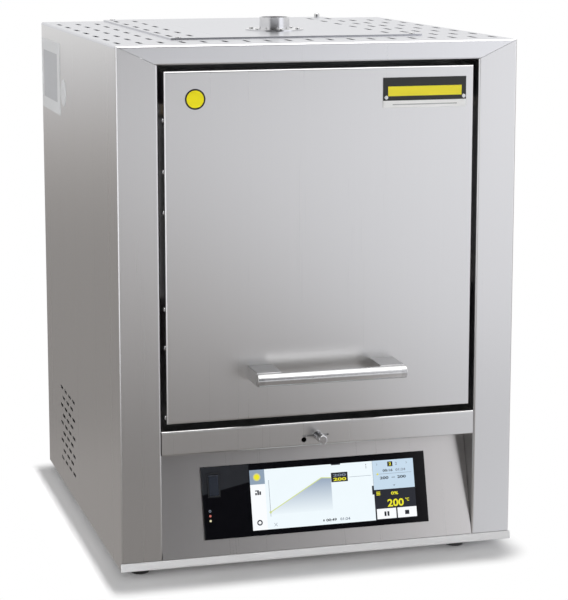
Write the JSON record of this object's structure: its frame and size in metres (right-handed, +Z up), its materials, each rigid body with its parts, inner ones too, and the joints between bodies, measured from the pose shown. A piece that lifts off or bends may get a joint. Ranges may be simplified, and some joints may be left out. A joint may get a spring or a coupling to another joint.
{
  "type": "high-temperature furnace",
  "caption": "Bench-top chamber furnace in brushed steel with a parallel lift door, bar handle, sloped touch display, slotted roof and exhaust stack.",
  "frame": {"origin": "bottom centre of the whole furnace, on the surface it stands on, at rest with the door shut", "axes": "+Z up, +Y from the door to the back, +X to the right as seen from the front"},
  "size_m": [0.387, 0.4598, 0.5103],
  "materials": {
    "brushed_steel": "brushed stainless sheet, grain upright",
    "plain_steel": "plain mill-finish sheet and bar",
    "polished_steel": "fine satin stainless",
    "bush_brass": "turned",
    "strap_aluminium": "braided and pressed",
    "black_rubber": "matt moulded",
    "black_glass": "black-backed cover glass",
    "screen": "lit screen",
    "black_plastic": "moulded",
    "nameplate": "printed metal plate",
    "fibre_board": "vacuum-formed ceramic fibre board",
    "dense_ceramic": "sintered alumina",
    "element": "molybdenum disilicide, glassy grey",
    "transformer_iron": "varnished laminations and coil"
  },
  "bodies": {
    "furnace": {"base_tray": "brushed_steel", "feet": "black_rubber", "side_panel_left": "brushed_steel", "side_panel_right": "brushed_steel", "jamb_left": "brushed_steel", "jamb_right": "brushed_steel", "header": "brushed_steel", "roof_shell": "brushed_steel", "roof_plate": "brushed_steel", "exhaust_stack": "brushed_steel", "casing_screws": "polished_steel", "rear_panel": "plain_steel", "side_plates": "plain_steel", "air_strip": "brushed_steel", "air_duct": "plain_steel", "control_panel": "brushed_steel", "display_glass": "black_glass", "display_module": "screen", "controller_box": "black_plastic", "usb_port": "black_plastic", "shaft_bushes": "bush_brass", "casing_pivot_pins": "polished_steel", "inner_front_plate": "plain_steel", "chamber_shell": "plain_steel", "collar_brick": "fibre_board", "floor_brick": "fibre_board", "roof_brick": "fibre_board", "side_bricks": "fibre_board", "rear_brick": "fibre_board", "hearth_plate": "dense_ceramic", "heating_elements": "element", "element_holders": "dense_ceramic", "terminal_straps": "strap_aluminium", "thermocouple": "dense_ceramic", "exhaust_tube": "dense_ceramic", "transformer": "transformer_iron", "heat_sink": "plain_steel", "power_relay": "black_plastic", "fan_frame": "black_plastic", "mains_inlet": "black_plastic"},
    "door": {"door_tray": "brushed_steel", "door_board": "fibre_board", "door_back": "plain_steel", "door_plug": "fibre_board", "door_gasket": "fibre_board", "door_brackets": "plain_steel", "door_pivot_pins": "polished_steel", "handle_bar": "polished_steel", "handle_caps": "polished_steel", "handle_posts": "polished_steel", "nameplate": "nameplate", "door_screws": "polished_steel"},
    "upper_link": {"upper_arms": "plain_steel", "lift_shaft": "plain_steel"},
    "lower_link": {"lower_arms": "plain_steel"},
    "air_slide": {"air_slider": "polished_steel", "air_knob": "polished_steel"},
    "usb_cover": {"usb_flap": "black_rubber"},
    "fan": {"fan_rotor": "black_plastic"},
    "mains_switch": {"mains_rocker": "black_plastic"}
  },
  "joints": [
    {"name": "door_lift", "type": "hinge", "parent": "furnace", "child": "upper_link", "pos_m": [0, -0.15491, 0.4353], "axis": [-1, 0, 0], "range_deg": [0, 105]},
    {"name": "lower_swing", "type": "hinge", "parent": "furnace", "child": "lower_link", "pos_m": [0, -0.13491, 0.3323], "axis": [-1, 0, 0], "range_deg": [0, 105]},
    {"name": "door_level", "type": "hinge", "parent": "upper_link", "child": "door", "pos_m": [0, -0.15491, 0.2623], "axis": [-1, 0, 0], "range_deg": [-105, 0]},
    {"name": "air_slide_move", "type": "slide", "parent": "furnace", "child": "air_slide", "axis": [1, 0, 0], "range_m": [-0.012, 0.009]},
    {"name": "usb_flap_hinge", "type": "hinge", "parent": "furnace", "child": "usb_cover", "pos_m": [-0.10085, -0.17085, 0.08927], "axis": [-1, 0, 0], "range_deg": [0, 100]},
    {"name": "fan_spin", "type": "hinge", "parent": "furnace", "child": "fan", "pos_m": [-0.18, 0.09679, 0.0728], "axis": [1, 0, 0], "continuous": true},
    {"name": "mains_rocker_tilt", "type": "hinge", "parent": "furnace", "child": "mains_switch", "pos_m": [0.12, 0.22259, 0.083], "axis": [-1, 0, 0], "range_deg": [0, 20]}
  ],
  "couplings": [
    {"joint": "lower_swing", "follows": "door_lift", "ratio": 1},
    {"joint": "door_level", "follows": "door_lift", "ratio": -1}
  ]
}
